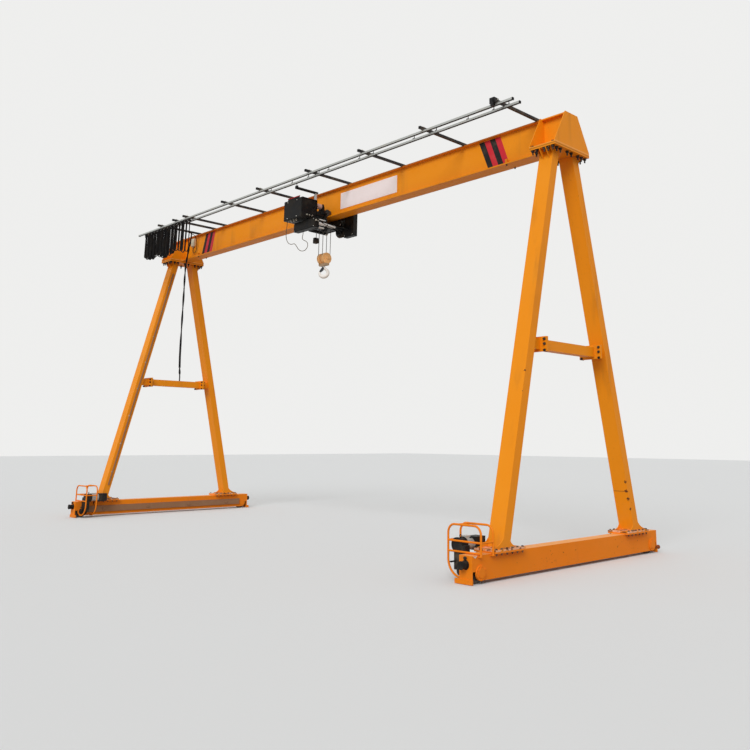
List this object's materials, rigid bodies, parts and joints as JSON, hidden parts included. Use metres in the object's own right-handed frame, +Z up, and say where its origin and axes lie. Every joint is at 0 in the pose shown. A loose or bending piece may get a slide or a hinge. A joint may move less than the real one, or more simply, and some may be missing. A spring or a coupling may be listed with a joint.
{
  "type": "gantry crane",
  "caption": "Rail-mounted single-girder gantry crane: box girder on A-frame legs, motor-driven wheel carriages, low-headroom rope hoist with hook block, festooned power cables.",
  "frame": {"origin": "on the floor at the bottom centre of the crane, midway between the four wheels", "axes": "X along the girder, Y along the carriages and their rails, Z up"},
  "size_m": [11.48, 4.364, 6.408],
  "materials": {
    "paint": "orange-yellow gloss paint, worn, with rust at edges",
    "black_paint": "black powder coat, dusty",
    "steel": "bare and galvanised steel, dull",
    "cast": "cast iron, oily and dusty",
    "rubber": "black rubber",
    "cable": "black rubber cable sheath",
    "plastic": "grey plastic conduit",
    "sign": "white painted sheet, bare",
    "box": "pale moulded box",
    "hook": "off-white paint on forged steel"
  },
  "bodies": {
    "structure": {"main_girder": "paint", "saddle_left": "paint", "saddle_right": "paint", "head_plates": "paint", "leg_left_near": "paint", "leg_left_far": "paint", "leg_right_near": "paint", "leg_right_far": "paint", "tie_left": "paint", "tie_right": "paint", "carriage_left": "paint", "carriage_right": "paint", "bearing_covers": "paint", "sweeper_plates": "paint", "buffers": "rubber", "drive_guards": "paint", "drive_left": "cast", "drive_right": "cast", "festoon_arms": "black_paint", "festoon_rails": "steel", "cable_trolleys": "black_paint", "festoon_cable": "cable", "end_clamp": "black_paint", "supply_cable": "cable", "conduits": "plastic", "sign_plate": "sign", "end_stops": "black_paint", "junction_box": "box"},
    "hoist": {"trolley_frame": "black_paint", "trolley_wheels": "steel", "travel_motor": "black_paint", "control_box": "black_paint", "lower_box": "black_paint", "drum_unit": "black_paint", "hoist_motor": "cast", "tow_arm": "steel", "limit_weight": "steel", "ropes": "steel", "hoist_cable": "cable"},
    "block": {"hook_block": "paint"},
    "hook": {"hook": "hook"},
    "wheel_left_near": {"wheel_left_near": "cast"},
    "wheel_left_far": {"wheel_left_far": "cast"},
    "wheel_right_near": {"wheel_right_near": "cast"},
    "wheel_right_far": {"wheel_right_far": "cast"}
  },
  "joints": [
    {"name": "hoist_travel", "type": "slide", "parent": "structure", "child": "hoist", "axis": [1, 0, 0], "range_m": [-4.2, 4.2]},
    {"name": "hook_lift", "type": "slide", "parent": "hoist", "child": "block", "axis": [0, 0, 1], "range_m": [-4.5, 0.1], "deforming": ["ropes"]},
    {"name": "hook_swivel", "type": "hinge", "parent": "block", "child": "hook", "pos_m": [0, 0, 4.9], "axis": [0, 0, 1], "continuous": true},
    {"name": "roll_left_near", "type": "hinge", "parent": "structure", "child": "wheel_left_near", "pos_m": [-5.5, -1.942, 0.125], "axis": [1, 0, 0], "continuous": true},
    {"name": "roll_left_far", "type": "hinge", "parent": "structure", "child": "wheel_left_far", "pos_m": [-5.5, 1.942, 0.125], "axis": [1, 0, 0], "continuous": true},
    {"name": "roll_right_near", "type": "hinge", "parent": "structure", "child": "wheel_right_near", "pos_m": [5.5, -1.942, 0.125], "axis": [1, 0, 0], "continuous": true},
    {"name": "roll_right_far", "type": "hinge", "parent": "structure", "child": "wheel_right_far", "pos_m": [5.5, 1.942, 0.125], "axis": [1, 0, 0], "continuous": true}
  ]
}
